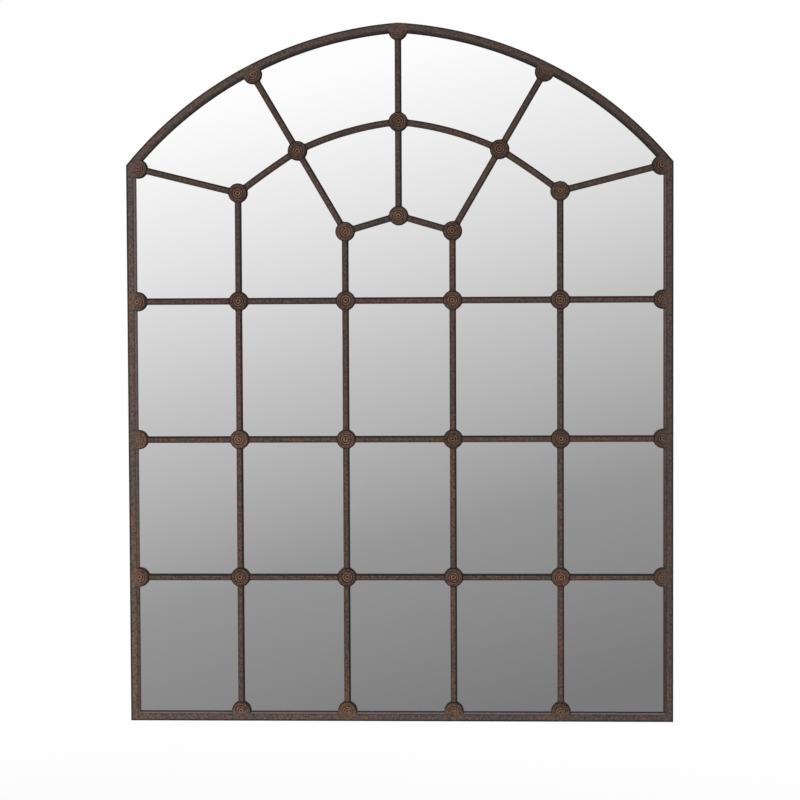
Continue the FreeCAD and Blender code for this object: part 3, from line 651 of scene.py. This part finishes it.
def bumped(tree, shader, height, strength, distance):
    """Fine unevenness of a surface."""
    bump = add_node(tree, "ShaderNodeBump", {"Height": height, "Strength": strength, "Distance": distance})
    tree.links.new(bump.outputs["Normal"], shader.inputs["Normal"])


def figured(tree, operation, first, second=0.0):
    """Two values worked into one, each a number or another node's output."""
    return add_node(tree, "ShaderNodeMath", {0: first, 1: second}, operation=operation).outputs["Value"]


def parts_of(tree, vector):
    """The parts of a direction or a place along the three axes."""
    return add_node(tree, "ShaderNodeSeparateXYZ", {"Vector": vector}).outputs


def facing(tree):
    """The parts of the direction in which a surface faces."""
    return parts_of(tree, add_node(tree, "ShaderNodeNewGeometry").outputs["Normal"])


def given(tree, name):
    """A value that the points of a mesh carry. It is zero on a mesh without it."""
    return add_node(tree, "ShaderNodeAttribute", attribute_name=name).outputs["Fac"]


def set_stops(ramp, ramp_stops):
    """Give a colour ramp grey stops, each a (position, level) pair."""
    stops = ramp.color_ramp.elements
    while len(stops) < len(ramp_stops):
        stops.new(0.5)
    for stop, (position, level) in zip(stops, ramp_stops):
        stop.position = position
        stop.color = (level, level, level, 1.0)


def painted_turned_shade(tree):
    """Share of painted black shade, which grows as a surface turns from the front, sooner if it faces up or
    right.
    """
    parts = facing(tree)
    turned = figured(tree, "ADD", figured(tree, "MULTIPLY", parts["Z"], LEDGE_SHADE), parts["Y"])
    turned = figured(tree, "ADD", figured(tree, "MULTIPLY", parts["X"], SIDE_SHADE), turned)
    return ranged(tree, turned, TURNED_RANGE)


def darkening(tree, place, lean, darkest):
    """Share of dark brown, which grows towards the head and, where there is a lean, towards the right."""
    parts = parts_of(tree, place)
    sockets = {0: parts["X"], 1: lean, 2: parts["Z"]}
    tone = add_node(tree, "ShaderNodeMath", sockets, operation="MULTIPLY_ADD").outputs["Value"]
    side = lean * FRAME_HALF_WIDTH
    return ranged(tree, tone, (-side, side + CROWN_HEIGHT), (0.0, darkest))


def front_share(tree, place):
    """Where a point lies between the frame's outer edge, at 0, and its sight line, at 1."""
    parts = parts_of(tree, place)
    across = figured(tree, "ABSOLUTE", parts["X"])
    from_side = figured(tree, "SUBTRACT", FRAME_HALF_WIDTH, across)
    outwards = figured(tree, "ADD", across, HEAD_CENTRE_OFFSET)
    upwards = figured(tree, "MAXIMUM", figured(tree, "SUBTRACT", parts["Z"], HEAD_CENTRE_HEIGHT), 0)
    reach = add_node(tree, "ShaderNodeCombineXYZ", {"X": outwards, "Z": upwards}).outputs["Vector"]
    reach = add_node(tree, "ShaderNodeVectorMath", {0: reach}, operation="LENGTH").outputs["Value"]
    from_head = figured(tree, "SUBTRACT", HEAD_RADIUS, reach)
    inside = figured(tree, "MINIMUM", figured(tree, "MINIMUM", from_side, parts["Z"]), from_head)
    return figured(tree, "DIVIDE", inside, FRAME_SIGHT_LINE)


def frame_lines(tree, place):
    """Shares of the band beside the glass, of the painted shade lines outside it and of the painted shadow
    line at the glass.
    """
    share = front_share(tree, place)
    found = []
    for ramp_stops in (FRAME_BAND_SHARES, FRAME_SHADE_LINE_SHARES, GLASS_SHADOW_LINE_SHARES):
        ramp = add_node(tree, "ShaderNodeValToRGB", {"Fac": share})
        set_stops(ramp, ramp_stops)
        found.append(ramp.outputs["Color"])
    return found


def mottled(tree, place, speckle, browns, rust_share):
    """Two browns in long stretches, bright ridges where it is worn, orange rust, dark and pale specks."""
    stretches = cloud(tree, place, STRETCH_NOISE)
    patches = cloud(tree, place, PATCH_NOISE)
    first, second = browns
    skin = mixed(tree, ranged(tree, stretches, STRETCH_RANGE), colour(first), colour(second))
    wear = ranged(tree, given(tree, "worn"), (0.0, 1.0), (0.0, WORN_SHARE))
    skin = mixed(tree, wear, skin, colour(WORN_BROWN))
    rust = ranged(tree, patches, RUST_RANGE, (0.0, rust_share))
    skin = mixed(tree, rust, skin, colour(ORANGE_RUST))
    dark_specks = ranged(tree, speckle, DARK_SPECK_RANGE, (DARK_SPECK_SHARE, 0.0))
    skin = mixed(tree, dark_specks, skin, colour(DARK_BROWN))
    pale_specks = ranged(tree, speckle, PALE_SPECK_RANGE, (0.0, PALE_SPECK_SHARE))
    return mixed(tree, pale_specks, skin, colour(PALE_SPECK))


def banded(tree, place, speckle, skin):
    """The frame's front: a band between painted shade lines, with a painted pale sheen where it faces up and
    painted black shade where it faces down.
    """
    band, line, glass_shadow_line = frame_lines(tree, place)
    parts = facing(tree)
    upright = figured(tree, "ABSOLUTE", parts["Z"])
    strength = ranged(tree, upright, GLASS_SHADOW_LINE_RANGE, (STILE_SHADOW_LINE_SHARE, 1.0))
    glass_shadow_line = figured(tree, "MULTIPLY", glass_shadow_line, strength)
    upwards = figured(tree, "ADD", figured(tree, "MULTIPLY", parts["X"], BAND_LEAN), parts["Z"])
    loss = ranged(tree, parts_of(tree, place)["Z"], BAND_LOSS_HEIGHTS, (BAND_LOSS, 0.0))
    upwards = figured(tree, "SUBTRACT", upwards, loss)
    # Painted sheen where the band faces up, painted shade where it faces down.
    light = figured(tree, "MULTIPLY", band, ranged(tree, upwards, BAND_LIGHT_RANGE, BAND_LIGHT_SHARES))
    dark = figured(tree, "MULTIPLY", band, ranged(tree, upwards, BAND_DARK_RANGE, BAND_DARK_SHARES))
    dark_grey, pale_grey = BAND_SHEEN_GREYS
    skin = mixed(tree, light, skin, mixed(tree, speckle, colour(dark_grey), colour(pale_grey)))
    # Painted shade: the band's dark side and the dark lines at the frame's edges and at the glass.
    for share in (dark, line, glass_shadow_line):
        skin = mixed(tree, share, skin, colour(PAINTED_SHADE_BLACK))
    return skin


def rusted_iron(name, browns, rust_share, darkest, lean=0.0, has_bands=False):
    """Old iron: mottled, darker towards the head, with a banded front of painted sheen and shade or painted
    shade on turned sides, and black scale.
    """
    material, tree, shader, place = new_material(
        name, Metallic=IRON_METALLIC, Specular_IOR_Level=IRON_SPECULAR
    )
    speckle = cloud(tree, place, SPECKLE_NOISE)
    grain = cloud(tree, place, GRAIN_NOISE)
    skin = mottled(tree, place, speckle, browns, rust_share)
    skin = mixed(tree, darkening(tree, place, lean, darkest), skin, colour(DARK_BROWN))
    if has_bands:
        skin = banded(tree, place, speckle, skin)
    else:
        # Painted shade: black where bars and rosettes turn from the front.
        skin = mixed(tree, painted_turned_shade(tree), skin, colour(SCALE_AND_SHADE_BLACK))
    scale = ranged(tree, given(tree, "scale"), (0.0, 1.0), (0.0, SCALE_SHARE))
    skin = mixed(tree, scale, skin, colour(SCALE_AND_SHADE_BLACK))
    tree.links.new(skin, shader.inputs["Base Color"])
    tree.links.new(ranged(tree, speckle, NOISE_SPREAD, IRON_ROUGHNESS), shader.inputs["Roughness"])
    bumped(tree, shader, grain, *GRAIN_BUMP)
    return material


def silvered_glass():
    """Mirror glass with a faint film of dust."""
    material, tree, shader, place = new_material("silvered_glass", Metallic=1.0)
    film = cloud(tree, place, FILM_NOISE)
    tree.links.new(mixed(tree, film, *SILVER_COLOURS), shader.inputs["Base Color"])
    tree.links.new(ranged(tree, film, FILM_RANGE, FILM_ROUGHNESS), shader.inputs["Roughness"])
    return material


def hardboard():
    """Brown pressed fibre, with fine dark fibres and soft darker and lighter patches."""
    material, tree, shader, place = new_material("hardboard")
    fibres = cloud(tree, place, FIBRE_NOISE)
    patches = cloud(tree, place, BOARD_PATCH_NOISE)
    darker, lighter = BOARD_BROWNS
    ground = mixed(tree, ranged(tree, patches, BOARD_PATCH_RANGE), colour(darker), colour(lighter))
    skin = mixed(tree, ranged(tree, fibres, FIBRE_RANGE), ground, colour(FIBRE_BROWN))
    tree.links.new(skin, shader.inputs["Base Color"])
    tree.links.new(ranged(tree, fibres, NOISE_SPREAD, BOARD_ROUGHNESS), shader.inputs["Roughness"])
    bumped(tree, shader, fibres, *FIBRE_BUMP)
    return material


def zinc(name):
    """Zinc-plated steel with a cloudy finish."""
    material, tree, shader, place = new_material(name, Metallic=ZINC_METALLIC)
    haze = cloud(tree, place, HAZE_NOISE)
    darker, lighter = ZINC_GREYS
    tree.links.new(mixed(tree, haze, colour(darker), colour(lighter)), shader.inputs["Base Color"])
    tree.links.new(ranged(tree, haze, NOISE_SPREAD, ZINC_ROUGHNESS), shader.inputs["Roughness"])
    bumped(tree, shader, haze, *HAZE_BUMP)
    return material


def foam():
    """Black foam tape with fine cells."""
    material, tree, shader, place = new_material("foam", Roughness=FOAM_ROUGHNESS)
    cells = cloud(tree, place, CELL_NOISE)
    darker, lighter = FOAM_GREYS
    tree.links.new(mixed(tree, cells, colour(darker), colour(lighter)), shader.inputs["Base Color"])
    bumped(tree, shader, cells, *CELL_BUMP)
    return material


def make_materials():
    """The material of each slot."""
    return {
        "frame_iron": rusted_iron(
            "frame_iron", FRAME_BROWNS, FRAME_RUST_SHARE, FRAME_DARKEST_SHARE, FRAME_LEAN, has_bands=True
        ),
        "bar_iron": rusted_iron("bar_iron", BAR_BROWNS, BAR_RUST_SHARE, BAR_DARKEST_SHARE),
        "rosette_iron": rusted_iron(
            "rosette_iron", ROSETTE_BROWNS, ROSETTE_RUST_SHARE, FRAME_DARKEST_SHARE, FRAME_LEAN
        ),
        "mirror": silvered_glass(),
        "tape": foam(),
        "board": hardboard(),
        "hardware_steel": zinc("hardware_steel"),
        "ring_steel": zinc("ring_steel"),
    }


def dress_frame():
    """Give every CAD node that still shows the material of its slot."""
    for entry in frame["record"]["subparts"]:
        mesh = frame["nodes"][entry["node"]].data
        mesh.materials.clear()
        mesh.materials.append(materials[entry["material_slot"]])


# Surroundings.
def make_world():
    """White to the eye, an even light on the object, and a soft grey room in the mirror."""
    world = bpy.data.worlds.new("room")
    bpy.context.scene.world = world
    world.use_nodes = True
    tree = world.node_tree
    direction = add_node(tree, "ShaderNodeTexCoord").outputs["Generated"]
    parts = parts_of(tree, direction)
    sockets = {0: parts["X"], 1: ROOM_TILT, 2: parts["Z"]}
    lean = add_node(tree, "ShaderNodeMath", sockets, operation="MULTIPLY_ADD").outputs["Value"]
    ramp = add_node(tree, "ShaderNodeValToRGB", {"Fac": ranged(tree, lean, ROOM_RANGE)})
    set_stops(ramp, ROOM_BRIGHTNESS_SHARES)
    light_path = add_node(tree, "ShaderNodeLightPath").outputs
    even = (ROOM_LIGHT, ROOM_LIGHT, ROOM_LIGHT, 1.0)
    seen = mixed(tree, light_path["Is Glossy Ray"], even, ramp.outputs["Color"])
    seen = mixed(tree, light_path["Is Transmission Ray"], seen, WHITE)
    seen = mixed(tree, light_path["Is Camera Ray"], seen, WHITE)
    tree.links.new(seen, tree.nodes["Background"].inputs["Color"])


def make_floor():
    """A pale floor under the hanging mirror, white to the eye where no shadow falls."""
    form = bmesh.new()
    bmesh.ops.create_grid(form, x_segments=1, y_segments=1, size=FLOOR_SIZE / 2)
    mesh = bpy.data.meshes.new("floor")
    form.to_mesh(mesh)
    form.free()
    floor = bpy.data.objects.new("floor", mesh)
    floor.location.z = FLOOR_HEIGHT
    floor.visible_glossy = False
    bpy.context.scene.collection.objects.link(floor)
    pale = (FLOOR_BRIGHTNESS, FLOOR_BRIGHTNESS, FLOOR_BRIGHTNESS, 1.0)
    material, tree, shader, place = new_material(
        "pale_floor", Base_Color=pale, Roughness=FLOOR_ROUGHNESS
    )
    glow = add_node(tree, "ShaderNodeEmission", {"Color": WHITE, "Strength": 1.0})
    seen = add_node(tree, "ShaderNodeLightPath").outputs["Is Camera Ray"]
    reach = add_node(tree, "ShaderNodeVectorMath", {0: place}, operation="LENGTH").outputs["Value"]
    share = figured(tree, "MULTIPLY", seen, ranged(tree, reach, FLOOR_GLOW_REACH, FLOOR_GLOW_SHARES))
    sockets = {0: share, 1: shader.outputs["BSDF"], 2: glow.outputs["Emission"]}
    blend = add_node(tree, "ShaderNodeMixShader", sockets)
    tree.links.new(blend.outputs["Shader"], tree.nodes["Material Output"].inputs["Surface"])
    mesh.materials.append(material)


def soft_lamp(name, place, power):
    """A soft square lamp that points at the middle of the object and doesn't show in the mirror."""
    data = bpy.data.lights.new(name, "AREA")
    data.shape = "SQUARE"
    data.size = LAMP_SIZE
    data.energy = power
    lamp = bpy.data.objects.new(name, data)
    lamp.location = place
    lamp.rotation_mode = "QUATERNION"
    lamp.rotation_quaternion = (Vector(LAMP_TARGET) - Vector(place)).to_track_quat("-Z", "Y")
    lamp.visible_glossy = False
    bpy.context.scene.collection.objects.link(lamp)


def make_camera():
    """The camera, at the photograph's viewing angle."""
    data = bpy.data.cameras.new("camera")
    data.lens = CAMERA_LENS
    camera = bpy.data.objects.new("camera", data)
    camera.location = CAMERA_PLACE
    angles = (LEVEL_LOOK + CAMERA_PITCH, CAMERA_ROLL, CAMERA_YAW)
    camera.rotation_euler = [math.radians(angle) for angle in angles]
    bpy.context.scene.collection.objects.link(camera)
    bpy.context.scene.camera = camera


materials = make_materials()
dress_frame()
make_welds(make_rosettes())
make_rings()
make_screws()
make_world()
make_floor()
for name, place, power in LAMPS:
    soft_lamp(name, place, power)
make_camera()
bpy.context.scene.view_settings.view_transform = "Standard"
